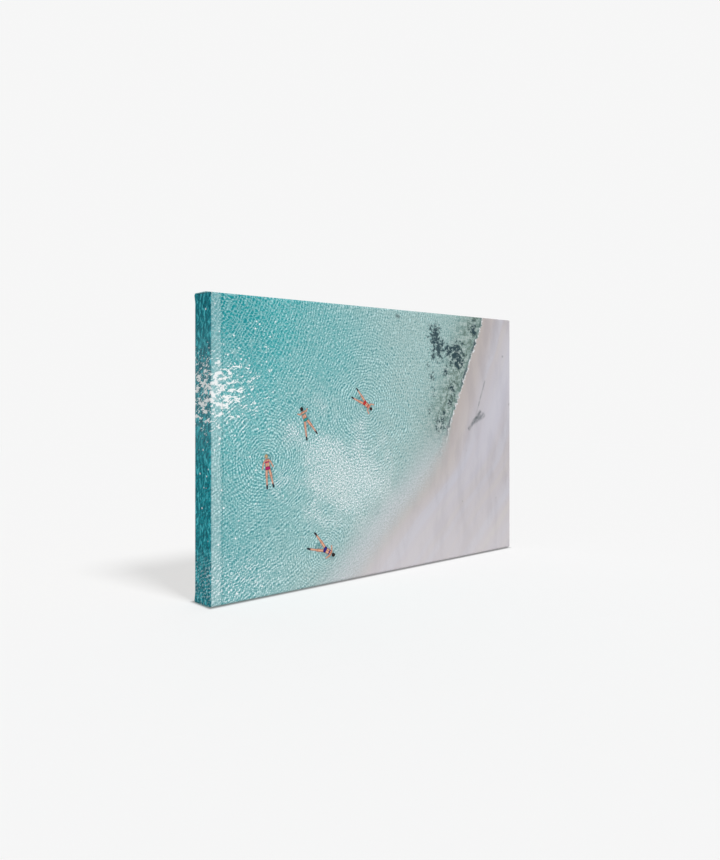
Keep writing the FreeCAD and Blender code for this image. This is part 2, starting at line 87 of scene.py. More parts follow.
class Graph:
    """A material's nodes, with a short call for each kind that the materials below use."""

    def __init__(self, name, tree=None):
        if tree is None:
            self.material = bpy.data.materials.new(name)
            self.material.use_nodes = True
            tree = self.material.node_tree
            tree.nodes.clear()
        self.tree = tree

    def add(self, kind, **settings):
        node = self.tree.nodes.new("ShaderNode" + kind)
        for key, value in settings.items():
            setattr(node, key, value)
        return node

    def put(self, value, socket):
        """Link a socket, or set a plain value."""
        if isinstance(value, bpy.types.NodeSocket):
            self.tree.links.new(value, socket)
        elif value is not None:
            socket.default_value = value

    def math(self, operation, first, second=None):
        node = self.add("Math", operation=operation)
        for value, socket in zip((first, second), node.inputs):
            self.put(value, socket)
        return node.outputs[0]

    def plus(self, first, second):
        return self.math("ADD", first, second)

    def minus(self, first, second):
        return self.math("SUBTRACT", first, second)

    def times(self, first, second):
        return self.math("MULTIPLY", first, second)

    def vector(self, operation, first, second=None, scale=None):
        node = self.add("VectorMath", operation=operation)
        self.put(first, node.inputs[0])
        self.put(second, node.inputs[1])
        self.put(scale, node.inputs[3])
        return node.outputs[1 if operation in ("LENGTH", "DOT_PRODUCT", "DISTANCE") else 0]

    def attribute(self, name):
        return self.add("Attribute", attribute_name=name).outputs["Vector"]

    def place(self):
        return self.add("TexCoord").outputs["Object"]

    def split(self, vector):
        """The first two parts of a vector."""
        node = self.add("SeparateXYZ")
        self.put(vector, node.inputs[0])
        return node.outputs[0], node.outputs[1]

    def join(self, x, y):
        node = self.add("CombineXYZ")
        for value, socket in zip((x, y), node.inputs):
            self.put(value, socket)
        return node.outputs[0]

    def stretch(self, vector, scale=(1, 1, 1), turn=0.0, move=(0, 0, 0)):
        node = self.add("Mapping")
        self.put(vector, node.inputs["Vector"])
        node.inputs["Location"].default_value = move
        node.inputs["Rotation"].default_value = (0, 0, math.radians(turn))
        node.inputs["Scale"].default_value = scale
        return node.outputs[0]

    def noise(self, vector, scale, detail=2.0, roughness=0.5):
        node = self.add("TexNoise")
        self.put(vector, node.inputs["Vector"])
        for name, value in (("Scale", scale), ("Detail", detail), ("Roughness", roughness)):
            node.inputs[name].default_value = value
        return node.outputs["Fac"]

    def wobble(self, vector, scale, amount, detail=2.0):
        """The same place, pushed about in its first two directions by up to half the amount."""
        first = self.minus(self.noise(vector, scale, detail), 0.5)
        moved = self.stretch(vector, move=(31.7, 5.3, 8.1))
        second = self.minus(self.noise(moved, scale, detail), 0.5)
        push = self.vector("SCALE", self.join(first, second), scale=amount)
        return self.vector("ADD", vector, push)

    def cells(self, vector, scale, feature="F1"):
        """The distance to the nearest of many scattered points, or to the edge between two cells."""
        node = self.add("TexVoronoi", feature=feature)
        self.put(vector, node.inputs["Vector"])
        node.inputs["Scale"].default_value = scale
        return node.outputs["Distance"]

    def step(self, value, low, high, start=0.0, finish=1.0):
        """A smooth step from start to finish as value goes from low to high."""
        node = self.add("MapRange", interpolation_type="SMOOTHSTEP")
        self.put(value, node.inputs["Value"])
        limits = {"From Min": low, "From Max": high, "To Min": start, "To Max": finish}
        for name, number in limits.items():
            self.put(number, node.inputs[name])
        return node.outputs[0]

    def bump_band(self, value, middle, width):
        """1 at middle, falling smoothly to 0 at width either side."""
        away = self.math("ABSOLUTE", self.minus(value, middle))
        return self.step(away, 0.0, width, 1.0, 0.0)

    def curve(self, value, points):
        """A curve through points, of which the first two are its ends."""
        node = self.add("FloatCurve")
        self.put(value, node.inputs["Value"])
        line = node.mapping.curves[0]
        for index, (x, y) in enumerate(points):
            if index < 2:
                line.points[index].location = (x, y)
            else:
                line.points.new(x, y)
        node.mapping.update()
        return node.outputs[0]

    def mix(self, amount, first, second, blend="MIX"):
        node = self.add("Mix", data_type="RGBA", blend_type=blend, clamp_factor=True)
        self.put(amount, node.inputs[0])
        self.put(first, node.inputs[6])
        self.put(second, node.inputs[7])
        return node.outputs[2]

    def ramp(self, value, stops):
        node = self.add("ValToRGB")
        self.put(value, node.inputs[0])
        elements = node.color_ramp.elements
        while len(elements) < len(stops):
            elements.new(0.5)
        for element, (position, colour) in zip(elements, stops):
            element.position = position
            element.color = colour
        return node.outputs[0]

    def bump(self, height, strength, distance):
        node = self.add("Bump")
        node.inputs["Strength"].default_value = strength
        node.inputs["Distance"].default_value = distance
        self.put(height, node.inputs["Height"])
        return node.outputs[0]

    def finish(self, colour, roughness, normal=None, **sockets):
        shader = self.add("BsdfPrincipled")
        self.put(colour, shader.inputs["Base Color"])
        self.put(roughness, shader.inputs["Roughness"])
        self.put(normal, shader.inputs["Normal"])
        for name, value in sockets.items():
            self.put(value, shader.inputs[name.replace("_", " ")])
        output = self.add("OutputMaterial")
        self.tree.links.new(shader.outputs[0], output.inputs["Surface"])
        return self.material


def paint(red, green, blue):
    """An opaque colour from 0 to 255 sRGB values, as the linear values that nodes take."""
    def linear(value):
        value /= 255
        return value / 12.92 if value <= 0.04045 else ((value + 0.055) / 1.055) ** 2.4
    return (linear(red), linear(green), linear(blue), 1.0)


# ------------------------------------------------------------------ the printed picture
# The cloth carries its own flat coordinates in millimetres, from the lower left corner of
# the front: x from 0 to 300 and y from 0 to 200, and on past both over the sides.  All the
# places and sizes in this section are in them.

PRINT_WIDTH = 300.0
PRINT_HEIGHT = 200.0
PRINT_END = 27.6          # how far past the front the print ends, on the back of the bars
THREAD = 0.55             # distance between two threads of the canvas

# The shore: at each share of the height, the share of the width where the water ends.  The
# bottom and the top come first, as the curve's two ends.
SHORE = [(0.0, 0.385), (1.0, 0.878), (0.17, 0.51), (0.40, 0.685), (0.62, 0.763)]

# Each set of rings: its centre, the distance between rings, its weight, and where it has faded.
RIPPLES = [
    ((42, 92), 2.0, 0.9, 78), ((131, 127), 2.2, 0.85, 95), ((92, 24), 1.9, 0.7, 60),
    ((-90, 250), 2.3, 0.85, 520), ((190, -190), 2.7, 0.5, 620), ((-150, 60), 1.7, 0.45, 600),
]

# Each patch of weed: its centre, its size and its strength.
WEED = [
    ((204, 183), 9, 1.0), ((208, 173), 11, 1.0), ((221, 170), 7, 0.9), ((230, 168), 11, 1.0),
    ((235, 161), 7, 0.9), ((196, 158), 5, 0.6), ((201, 149), 5, 0.7), ((217, 154), 5, 0.8),
    ((225, 139), 8, 0.7), ((222, 127), 7, 0.6), ((211, 110), 10, 0.65), ((251, 190), 8, 0.8),
    ((203, 136), 6, 0.5), ((216, 118), 7, 0.5), ((198, 122), 8, 0.4),
]

# Each wisp or dark speck: its start, its end, its width and its strength.
WISPS = [
    ((246, 106), (260, 120), 1.3, 0.75), ((255, 118), (266, 146), 0.7, 0.40),
    ((253, 112), (264, 117), 2.0, 0.6), ((289.4, 168), (289.7, 168), 0.8, 0.7),
    ((298.4, 126), (298.8, 126), 0.9, 0.5), ((162, 195.6), (164, 195), 1.2, 0.7),
]

# Each bather: the turn of the head from straight up, where the hips are, the size, the suit,
# the hair, how wide the legs are, and how far the arms reach ahead.
FIGURES = [
    (25, (74.6, 117.5), 1.12, paint(52, 150, 150), paint(44, 30, 28), 0.30, 0.1),
    (-126, (129.5, 128.5), 1.06, paint(205, 50, 52), paint(60, 36, 32), 0.24, 0.7),
    (9, (43.0, 85.6), 1.12, paint(184, 36, 104), paint(206, 172, 128), 0.12, -1.5),
    (-122, (92.0, 24.4), 1.22, paint(46, 40, 134), paint(44, 32, 32), 0.34, -0.6),
]


def capsule_group():
    """A node group: a mask of a capsule between two points with a soft rim, and one of its lit core."""
    tree = bpy.data.node_groups.new("capsule", "ShaderNodeTree")
    for name, kind in (("Place", "Vector"), ("Start", "Vector"), ("End", "Vector"),
                       ("Radius", "Float"), ("Soft", "Float")):
        tree.interface.new_socket(name, in_out="INPUT", socket_type="NodeSocket" + kind)
    tree.interface.new_socket("Mask", in_out="OUTPUT", socket_type="NodeSocketFloat")
    tree.interface.new_socket("Core", in_out="OUTPUT", socket_type="NodeSocketFloat")
    g = Graph("capsule", tree)
    given = tree.nodes.new("NodeGroupInput").outputs
    result = tree.nodes.new("NodeGroupOutput")
    from_start = g.vector("SUBTRACT", given["Place"], given["Start"])
    whole = g.vector("SUBTRACT", given["End"], given["Start"])
    along = g.math(
        "DIVIDE", g.vector("DOT_PRODUCT", from_start, whole), g.vector("DOT_PRODUCT", whole, whole))
    along = g.math("MINIMUM", g.math("MAXIMUM", along, 0.0), 1.0)
    away = g.vector("LENGTH", g.vector("SUBTRACT", from_start, g.vector("SCALE", whole, scale=along)))
    past = g.math("DIVIDE", g.minus(away, given["Radius"]), given["Soft"])
    tree.links.new(g.step(past, -0.5, 0.5, 1.0, 0.0), result.inputs[0])
    core = g.math("DIVIDE", away, given["Radius"])
    tree.links.new(g.step(core, 0.15, 0.95, 1.0, 0.0), result.inputs[1])
    return tree


def add_figure(g, colour, flat, capsule, figure):
    """Draw one small bather, seen from straight above, over the colour so far."""
    turn, hips, size, suit, hair, spread, reach = figure

    def limb(start, end, radius, dark, light=None, strength=1.0, soft=0.4):
        """Draw one capsule: dark at its rim and, if light is given, light along its middle."""
        node = g.tree.nodes.new("ShaderNodeGroup")
        node.node_tree = capsule
        g.put(own, node.inputs["Place"])
        node.inputs["Start"].default_value = (*start, 0)
        node.inputs["End"].default_value = (*end, 0)
        node.inputs["Radius"].default_value = radius
        node.inputs["Soft"].default_value = soft
        drawn = g.mix(g.times(node.outputs[0], strength), colour, dark)
        return drawn if light is None else g.mix(node.outputs[1], drawn, light)

    moved = g.vector("SCALE", g.vector("SUBTRACT", flat, (*hips, 0.0)), scale=1 / size)
    turned = g.add("VectorRotate", rotation_type="Z_AXIS")
    g.put(moved, turned.inputs["Vector"])
    turned.inputs["Angle"].default_value = math.radians(-turn)
    own = turned.outputs[0]

    skin_rim, skin_lit = paint(160, 98, 80), paint(228, 172, 144)
    fin = paint(38, 38, 48)
    suit_rim = [channel * 0.45 for channel in suit[:3]] + [1.0]
    leg = 10.5
    colour = limb((0.9, -5.5), (1.0, 6.2), 2.4, paint(16, 88, 96), strength=0.36, soft=3.6)
    for side in (-1, 1):
        foot = (side * (0.9 + leg * spread), -leg)
        knee = (side * (1.1 + leg * spread * 0.45), -leg * 0.5)
        hand = (side * 3.9, 5.2 + 3.4 * reach)
        elbow = (side * 2.7, 4.4 + 0.8 * reach)
        colour = limb((side * 0.9, -0.6), knee, 0.86, skin_rim, skin_lit)
        colour = limb(knee, foot, 0.60, skin_rim, skin_lit)
        colour = limb(foot, (foot[0] * 1.09, foot[1] - 1.5), 0.6, fin)
        colour = limb((side * 1.1, 5.0), elbow, 0.52, skin_rim, skin_lit)
        colour = limb(elbow, hand, 0.44, skin_rim, skin_lit)
    colour = limb((-0.35, 0.4), (-0.35, 4.4), 1.25, skin_rim, skin_lit)
    colour = limb((0.55, 0.4), (0.55, 4.4), 0.95, skin_rim, skin_lit)
    colour = limb((-0.8, -0.1), (0.8, -0.1), 1.1, suit_rim, suit)
    colour = limb((-1.0, 3.6), (1.0, 3.6), 0.45, suit_rim, suit)
    return limb((0, 6.9), (0, 7.3), 1.15, [channel * 0.5 for channel in hair[:3]] + [1.0], hair)


def print_material():
    """An aerial view of a beach, printed on the cloth: water, surf, sand, weed and four bathers."""
    g = Graph("printed_canvas")
    flat = g.attribute("flat")
    x, y = g.split(flat)

    # How far inland a point is, in millimetres, with a wandering edge.
    shore = g.times(g.curve(g.math("DIVIDE", y, PRINT_HEIGHT), SHORE), PRINT_WIDTH)
    wander = g.minus(g.noise(flat, 0.035, 3), 0.5)
    inland = g.plus(g.minus(x, shore), g.times(wander, 7.0))

    # Water: deeper to the upper left, paler and greyer towards the shore.
    cloudy = g.times(g.minus(g.noise(flat, 0.022, 3), 0.5), 0.45)
    from_corner = g.times(g.vector("LENGTH", g.vector(
        "MULTIPLY", g.vector("SUBTRACT", flat, (4.0, 196.0, 0.0)), (1.0, 0.8, 0.0))), 0.0056)
    depth = g.plus(from_corner, cloudy)
    water = g.ramp(depth, [
        (0.0, paint(16, 152, 158)), (0.3, paint(64, 171, 175)),
        (0.62, paint(128, 181, 182)), (1.0, paint(156, 186, 184)),
    ])
    lower_left = g.step(g.vector("DISTANCE", flat, (-10.0, 20.0, 0.0)), 20.0, 95.0, 0.6, 0.0)
    water = g.mix(lower_left, water, paint(74, 164, 170))

    # Waves: rings from three of the bathers and from three far places, added up and bent.
    bent = g.wobble(flat, 0.07, 6.5)
    bent = g.wobble(bent, 0.28, 1.5)
    swell = None
    for centre, pitch, weight, fade in RIPPLES:
        away = g.vector("DISTANCE", bent, (*centre, 0.0))
        wave = g.math("SINE", g.times(away, math.tau / pitch))
        ring = g.times(wave, g.step(away, 2.0, float(fade), weight, 0.0))
        swell = ring if swell is None else g.plus(swell, ring)
    chop = g.noise(g.stretch(bent, (0.62, 0.95, 1.0), -20), 1.0, 4, 0.7)
    choppy = g.times(g.minus(chop, 0.5), 6.8)
    swell = g.plus(swell, choppy)
    patchy = g.noise(flat, 0.05, 2)
    crest = g.step(swell, 0.35, 1.15)
    trough = g.step(swell, -1.1, -0.1, 1.0, 0.0)
    water = g.mix(g.times(trough, 0.72), water, paint(16, 122, 132))
    bright = g.times(g.step(patchy, 0.3, 0.65, 0.5, 0.9), g.step(from_corner, 0.05, 0.42, 0.60, 1.0))
    water = g.mix(g.times(crest, bright), water, paint(200, 234, 236))
    web = g.cells(g.stretch(bent, (0.26, 0.42, 1.0), 24), 1.0, "DISTANCE_TO_EDGE")
    water = g.mix(g.step(web, 0.0, 0.12, 0.26, 0.0), water, paint(222, 244, 244))

    # Glitter: a band of fine white flecks from the middle towards the beach.
    from_middle = g.stretch(g.vector("SUBTRACT", flat, (112.0, 74.0, 0.0)), turn=32)
    along_band = g.vector("LENGTH", g.stretch(from_middle, (0.72, 1.25, 0.0)))
    ragged_band = g.plus(along_band, g.times(g.minus(patchy, 0.5), 95.0))
    milk = g.step(ragged_band, -4.0, 68.0, 1.0, 0.0)
    speck = g.noise(g.stretch(bent, (0.62, 1.1, 1.0), -38), 1.0, 3, 0.7)
    sparks = g.noise(flat, 1.1, 2, 0.8)
    sparks = g.plus(g.plus(sparks, g.times(crest, 0.10)), g.times(milk, 0.07))
    glitter = g.times(g.step(milk, 0.0, 0.6), g.step(sparks, 0.585, 0.635))
    water = g.mix(g.times(milk, 0.14), water, paint(170, 196, 200))
    water = g.mix(g.times(glitter, 0.95), water, paint(246, 250, 252))

    # On the left side the print is multiplied a darker, deeper teal: partly a deeper teal in the print,
    # partly painted shade for the side that gets less light.  Slanting dark and pale streaks in the
    # print lie over it.
    side = g.step(x, -0.4, 0.4, 1.0, 0.0)
    # Painted shade, in part: this multiply darkens the whole left side as well as deepening its teal.
    water = g.mix(side, water, paint(2, 190, 203), "MULTIPLY")
    streak = g.noise(g.stretch(bent, (0.50, 0.16, 1.0), -30), 1.0, 4, 0.7)
    water = g.mix(g.times(side, g.step(streak, 0.36, 0.50, 0.85, 0.0)), water, paint(0, 88, 104))
    water = g.mix(g.times(side, g.step(streak, 0.52, 0.60, 0.0, 0.85)), water, paint(84, 206, 216))

    # Sun glints: hard white flecks on the left, fine arcs and fewer flecks along the lower left,
    # and a few single stars.
    fleck = g.noise(g.stretch(bent, (0.15, 0.30, 1.0), -40), 1.0, 5, 0.66)
    left_away = g.vector("DISTANCE", g.stretch(flat, (0.68, 1.0, 0.0)), (0.0, 137.0, 0.0))
    left_glints = g.step(left_away, 4.0, 56.0, 1.0, 0.0)
    low_away = g.vector("DISTANCE", g.stretch(flat, (0.5, 1.3, 0.0)), (10.0, 18.0, 0.0))
    low_glints = g.step(low_away, 4.0, 36.0, 0.9, 0.0)
    where = g.math("MAXIMUM", left_glints, g.times(low_glints, 0.72))
    arcs = g.times(g.times(low_glints, g.step(swell, 0.1, 0.8)), g.step(sparks, 0.42, 0.60))
    water = g.mix(g.times(arcs, 0.85), water, paint(236, 246, 248))
    on_crest = g.times(crest, 0.09)
    edge_of_glint = g.minus(0.80, g.times(where, 0.30))
    water = g.mix(g.times(left_glints, 0.10), water, paint(206, 224, 228))
    glint = g.step(g.minus(g.plus(fleck, on_crest), edge_of_glint), 0.0, 0.04)
    water = g.mix(glint, water, paint(244, 248, 248))
    star = g.step(g.cells(g.stretch(flat, (0.15, 0.15, 0.0)), 1.0), 0.06, 0.13, 1.0, 0.0)
    water = g.mix(g.times(star, g.step(x, 30.0, 110.0, 0.9, 0.0)), water, paint(250, 252, 252))

    # Shallows: mottled green and olive beds in the upper part, a plain pale bed in the lower part.
    ragged = g.noise(g.wobble(flat, 0.1, 6.0), 0.24, 6, 0.68)
    shallow = g.step(inland, -58.0, -4.0)
    bed = g.ramp(ragged, [
        (0.34, paint(70, 112, 112)), (0.46, paint(118, 148, 142)),
        (0.56, paint(158, 172, 166)), (0.70, paint(192, 194, 190)),
    ])
    upper = g.step(y, 74.0, 126.0)
    bed = g.mix(upper, paint(168, 182, 182), bed)
    water = g.mix(g.times(shallow, g.step(speck, 0.40, 0.62, 0.88, 0.52)), water, bed)
    water = g.mix(g.times(g.times(shallow, crest), 0.40), water, paint(216, 228, 228))
    water = g.mix(g.times(g.times(shallow, trough), 0.30), water, paint(112, 146, 146))
    olive = g.times(g.bump_band(inland, -11.0, 26.0), g.step(ragged, 0.40, 0.58, 0.62, 0.0))
    water = g.mix(g.times(olive, g.step(y, 92.0, 130.0)), water, paint(98, 108, 94))

    # Sand: a warm wet band, then lavender, beige and bluish bands that follow the shore, with
    # darker grains, drifts and crumbs, and paler towards the bottom.
    grain = g.noise(flat, 1.9, 3, 0.75)
    tide = g.noise(g.join(g.times(inland, 0.045), g.times(y, 0.004)), 1.0, 3, 0.5)
    sand = g.ramp(tide, [
        (0.36, paint(204, 199, 198)), (0.48, paint(200, 195, 199)),
        (0.60, paint(201, 200, 208)), (0.74, paint(201, 195, 196)),
    ])
    sand = g.mix(g.step(inland, 0.0, 30.0, 0.8, 0.0), sand, paint(190, 180, 174))
    sand = g.mix(g.step(grain, 0.36, 0.60, 0.26, 0.0), sand, paint(136, 128, 132))
    drift = g.noise(g.stretch(flat, (0.09, 0.022, 1.0), -32), 1.0, 4, 0.6)
    sand = g.mix(g.step(drift, 0.34, 0.56, 0.24, 0.0), sand, paint(150, 144, 152))
    crumb = g.step(g.cells(g.stretch(flat, (0.06, 0.06, 0.0)), 1.0), 0.02, 0.045, 0.7, 0.0)
    sand = g.mix(crumb, sand, paint(120, 116, 112))
    bluish = g.times(g.bump_band(inland, 52.0, 26.0), g.step(y, 20.0, 130.0, 0.15, 0.45))
    sand = g.mix(bluish, sand, paint(204, 206, 222))
    sand = g.mix(g.step(y, 0.0, 70.0, 0.45, 0.0), sand, paint(212, 208, 211))

    # The water's edge: a broken white line with a dark one beside it above, a soft veil below.
    lower = g.step(y, 55.0, 125.0, 1.0, 0.0)
    uneven = g.times(g.minus(ragged, 0.5), 12.0)
    rough_edge = g.plus(inland, uneven)
    soft_edge = g.plus(1.0, g.times(lower, 20.0))
    colour = g.mix(g.step(g.math("DIVIDE", rough_edge, soft_edge), -1.0, 1.0), water, sand)
    broken = g.step(g.noise(flat, 0.4, 3, 0.7), 0.44, 0.56)
    dark_band = g.times(g.bump_band(rough_edge, -1.8, 1.8), upper)
    rim = g.times(dark_band, g.step(patchy, 0.35, 0.6, 0.9, 0.2))
    colour = g.mix(rim, colour, paint(60, 74, 84))
    foam = g.times(g.times(g.bump_band(rough_edge, 0.0, 1.3), broken), upper)
    colour = g.mix(foam, colour, paint(232, 234, 238))
    veil = g.times(g.bump_band(inland, -10.0, 30.0), lower)
    colour = g.mix(g.times(veil, g.step(speck, 0.44, 0.58, 0.12, 0.8)), colour, paint(206, 208, 214))

    # Weed: dark ragged patches in the shallows, and thin wisps and specks mostly on the sand.
    weed = None
    for centre, size, peak in WEED:
        away = g.vector("DISTANCE", g.stretch(flat, (1.0, 0.8, 0.0)), (centre[0], centre[1] * 0.8, 0.0))
        patch = g.minus(peak, g.math("DIVIDE", away, float(size)))
        weed = patch if weed is None else g.math("MAXIMUM", weed, patch)
    speckled = g.times(g.minus(g.noise(flat, 0.5, 4, 0.7), 0.5), 2.4)
    clumped = g.plus(g.times(g.minus(ragged, 0.5), -3.4), speckled)
    weed_mask = g.times(g.step(g.plus(weed, clumped), 0.05, 0.75), g.step(weed, -0.9, 0.15))
    colour = g.mix(g.times(weed_mask, 0.92), colour, paint(34, 58, 68))
    capsule = capsule_group()
    for start, finish, width, strength in WISPS:
        wisp = g.tree.nodes.new("ShaderNodeGroup")
        wisp.node_tree = capsule
        g.put(flat, wisp.inputs["Place"])
        wisp.inputs["Start"].default_value = (*start, 0)
        wisp.inputs["End"].default_value = (*finish, 0)
        wisp.inputs["Radius"].default_value = width
        wisp.inputs["Soft"].default_value = width * 1.6
        torn = g.times(g.times(wisp.outputs[0], strength), g.step(ragged, 0.38, 0.56, 0.25, 1.0))
        colour = g.mix(torn, colour, paint(70, 84, 86))

    for figure in FIGURES:
        colour = add_figure(g, colour, flat, capsule, figure)

    # A painted highlight: a pale band over the left bar's lip, with a fine dark line of painted shade
    # where the lip ends, over the shallow groove the cloth has there.
    painted_highlight_band = g.times(g.step(x, -0.3, 0.3), g.step(x, 6.2, 7.2, 1.0, 0.0))
    colour = g.mix(g.times(painted_highlight_band, 0.16), colour, paint(235, 238, 240))
    # Painted shade: the fine dark line where the lip ends.
    colour = g.mix(g.times(g.bump_band(x, 8.0, 0.9), 0.20), colour, paint(40, 90, 98))

    # The print ends on the turned-over edge.
    past_side = g.math("MAXIMUM", g.times(x, -1.0), g.minus(x, PRINT_WIDTH))
    past_top = g.math("MAXIMUM", g.times(y, -1.0), g.minus(y, PRINT_HEIGHT))
    past = g.math("MAXIMUM", past_side, past_top)
    cotton = cotton_colour(g, flat)
    colour = g.mix(g.step(past, PRINT_END, PRINT_END + 0.4), colour, cotton)

    height = weave_height(g, flat)
    # Painted highlight: the raised threads are lightened a little towards white.
    thread_painted_highlight = g.step(height, 0.0, 1.0, 0.0, 0.012)
    colour = g.mix(thread_painted_highlight, colour, paint(235, 235, 235))
    roughness = g.plus(0.52, g.times(height, 0.16))
    return g.finish(colour, roughness, g.bump(height, 0.35, 0.00012), Specular_IOR_Level=0.06)


def weave_height(g, flat):
    """The height of a plain weave, a little uneven: threads come up to 1 and go under to 0 in turn."""
    x, y = g.split(g.wobble(flat, 0.5, 0.35))
    pitch = math.pi / THREAD
    across = g.math("SINE", g.times(x, pitch))
    up = g.math("SINE", g.times(y, pitch))
    over = g.times(across, up)
    return g.plus(0.5, g.times(over, 0.5))


def cotton_colour(g, flat):
    """Unprinted cotton: warm white with slubs and a few seed specks."""
    slub = g.noise(g.stretch(flat, (0.05, 1.2, 1.0)), 1.0, 3, 0.6)
    slub_up = g.noise(g.stretch(flat, (1.2, 0.05, 1.0)), 1.0, 3, 0.6)
    both = g.plus(slub, slub_up)
    tones = [(0.35, paint(214, 205, 186)), (0.65, paint(236, 230, 216))]
    colour = g.ramp(g.times(both, 0.5), tones)
    seed = g.step(g.cells(flat, 0.22), 0.03, 0.05, 0.5, 0.0)
    return g.mix(seed, colour, paint(150, 122, 86))


def cotton_material():
    """The back of the cloth, with the print just showing through as a faint tint."""
    g = Graph("raw_cotton")
    flat = g.attribute("flat")
    colour = cotton_colour(g, flat)
    ghost = g.step(g.noise(flat, 0.03, 2), 0.4, 0.7, 0.0, 0.22)
    colour = g.mix(ghost, colour, paint(196, 208, 200))
    height = weave_height(g, flat)
    return g.finish(colour, 0.85, g.bump(height, 0.6, 0.00018), Specular_IOR_Level=0.2, Sheen_Weight=0.15)


# ------------------------------------------------------------------ wood and metal


def wood_material(name, light, dark, along, seed):
    """Planed softwood: growth bands and pores along one axis, in a cloudy tone."""
    g = Graph(name)
    place = g.place()
    squeeze = [5.0 if axis == along else 130.0 for axis in "XYZ"]
    bent = g.wobble(place, 9.0, 0.014)
    growth = g.noise(g.stretch(bent, squeeze, move=(seed, seed * 1.7, seed * 0.6)), 1.0, 2, 0.5)
    pores = g.noise(g.stretch(place, [p * 9 for p in squeeze]), 1.0, 2, 0.7)
    cloud = g.noise(g.stretch(place, [p * 0.25 for p in squeeze]), 1.0, 2)
    band = g.math("FRACT", g.times(growth, 9.0))
    late = g.times(g.step(band, 0.30, 0.88), g.step(band, 0.93, 1.0, 1.0, 0.0))
    colour = g.mix(g.step(cloud, 0.3, 0.7, 0.0, 0.30), light, dark)
    colour = g.mix(g.times(late, 0.62), colour, dark)
    colour = g.mix(g.step(pores, 0.5, 0.8, 0.0, 0.35), colour, dark)
    height = g.plus(g.times(late, 0.5), g.times(pores, 0.8))
    roughness = g.step(pores, 0.2, 0.8, 0.55, 0.75)
    return g.finish(colour, roughness, g.bump(height, 0.25, 0.0003), Specular_IOR_Level=0.3)


def metal_material(name, colour, roughness, scratch):
    """Plated steel: finely brushed, with a cloudy plating."""
    g = Graph(name)
    place = g.place()
    cloud = g.noise(place, 260.0, 3, 0.6)
    brush = g.noise(g.stretch(place, (900.0, 900.0, 3600.0)), 1.0, 2, 0.6)
    tint = g.mix(g.step(cloud, 0.35, 0.75, 0.0, 0.35), colour, [c * 0.72 for c in colour[:3]] + [1.0])
    cloudy = g.step(cloud, 0.3, 0.7, roughness, roughness + 0.12)
    shine = g.plus(cloudy, g.times(brush, scratch))
    return g.finish(tint, shine, g.bump(brush, 0.12, 0.00002), Metallic=1.0)


# ------------------------------------------------------------------ the cloth


def wrap_stations():
    """Where the cloth lies from the front panel's rim to its cut edge, as (outward, back, normal
    outward, normal back, run).  Outward is counted from the rim, back from the wood's front, and
    run along the cloth."""
    bend = EDGE + CLOTH / 2
    back_bend = BACK_BEND + CLOTH / 2
    stations = []
    for index in range(7):
        angle = math.radians(90 * index / 6)
        stations.append((bend * math.sin(angle), bend * (1 - math.cos(angle)) - CLOTH / 2,
                         math.sin(angle), -math.cos(angle), bend * angle))
    start, finish = stations[-1][1], DEPTH - BACK_BEND
    run = stations[-1][4]
    for index in range(1, 15):
        share = index / 14
        past = (finish - start) * share
        stations.append((bend, start + past, 1.0, 0.0, run + past))
    run = stations[-1][4]
    for index in range(1, 6):
        angle = math.radians(90 * index / 5)
        stations.append((bend - back_bend * (1 - math.cos(angle)), finish + back_bend * math.sin(angle),
                         math.cos(angle), math.sin(angle), run + back_bend * angle))
    run, inner = stations[-1][4], stations[-1][0]
    length = inner + TURNOVER - EDGE - CLOTH
    for index in range(1, 11):
        share = index / 10
        stations.append((inner - length * share, stations[-1][1], 0.0, 1.0, run + length * share))
    return stations


def run_places(half):
    """Places along half of one side, from its middle to the rim's corner.  The first list is in
    metres from the middle, and the second, closer together, as shares of the corner's reach."""
    far = half - CORNER_REACH
    count = round(far / (3 * MM))
    plain = [far * index / count for index in range(count)]
    near = []
    for start, pitch, number in ((30, 1.5, 4), (24, 1.0, 14), (10, 0.6, 3), (8.2, 0.4, 6), (5.8, 0.6, 7)):
        near += [start - pitch * index for index in range(number)]
    near += [1.6, 1.1, 0.7, 0.35]
    return plain, [distance * MM / CORNER_REACH for distance in near]


